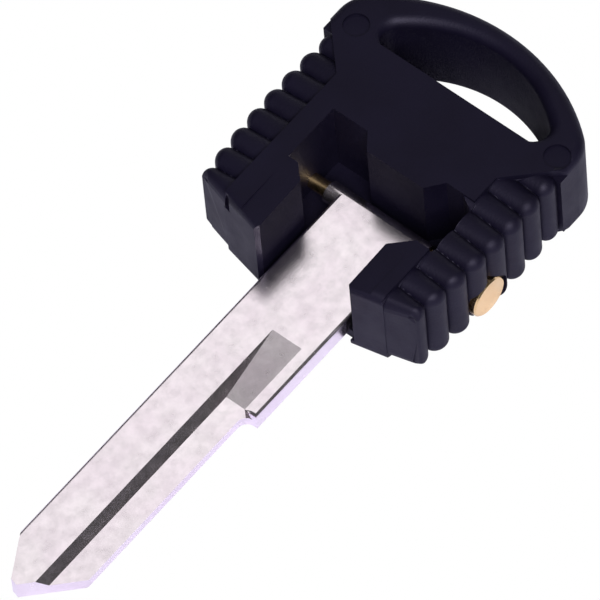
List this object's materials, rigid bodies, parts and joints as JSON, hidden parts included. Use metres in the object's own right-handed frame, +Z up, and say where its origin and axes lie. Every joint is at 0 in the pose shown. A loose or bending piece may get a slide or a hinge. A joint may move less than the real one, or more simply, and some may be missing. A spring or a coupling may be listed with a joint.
{
  "type": "ignition key",
  "caption": "Folding ignition key: a ribbed plastic head with a key-ring hole and a pocket, and a flat grooved metal blade on a brass pivot pin.",
  "frame": {"origin": "middle of the whole key's plan, at the level of the flat underside it lies on", "axes": "+X along the blade to its tip, +Y to the flank with the pin's head, +Z up through the open side of the pocket"},
  "size_m": [0.068, 0.0272, 0.01],
  "materials": {
    "head_plastic": "fine grained black moulding",
    "blade_metal": "bright nickel plating, satin on the sides",
    "pin_brass": "bare turned brass"
  },
  "bodies": {
    "head": {"key_head": "head_plastic", "pivot_pin": "pin_brass"},
    "blade": {"key_blade": "blade_metal"}
  },
  "joints": [
    {"name": "blade_fold", "type": "hinge", "parent": "head", "child": "blade", "pos_m": [-0.01465, 0, 0.00258], "axis": [0, -1, 0], "range_deg": [0, 90]}
  ]
}
